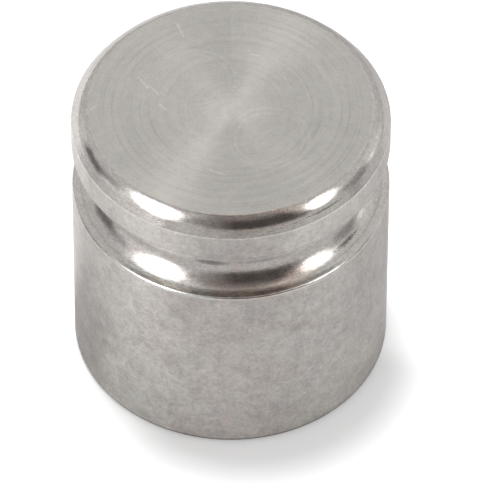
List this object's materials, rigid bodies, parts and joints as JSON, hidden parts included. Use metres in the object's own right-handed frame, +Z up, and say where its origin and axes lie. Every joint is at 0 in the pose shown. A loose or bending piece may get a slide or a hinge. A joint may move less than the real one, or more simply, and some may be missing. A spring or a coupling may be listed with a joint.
{
  "type": "calibration weight",
  "caption": "Cylindrical stainless steel calibration weight with a grip groove below a polished round-edged head and a flat resting face.",
  "frame": {"origin": "centre of the flat face that the weight rests on", "axes": "+Z up along the weight's turning axis; X and Y are interchangeable"},
  "size_m": [0.0202, 0.0202, 0.0207],
  "materials": {
    "steel": "turned top face, polished head edge and groove, satin side with faint mottling"
  },
  "bodies": {
    "root": {"weight": "steel"}
  },
  "joints": []
}
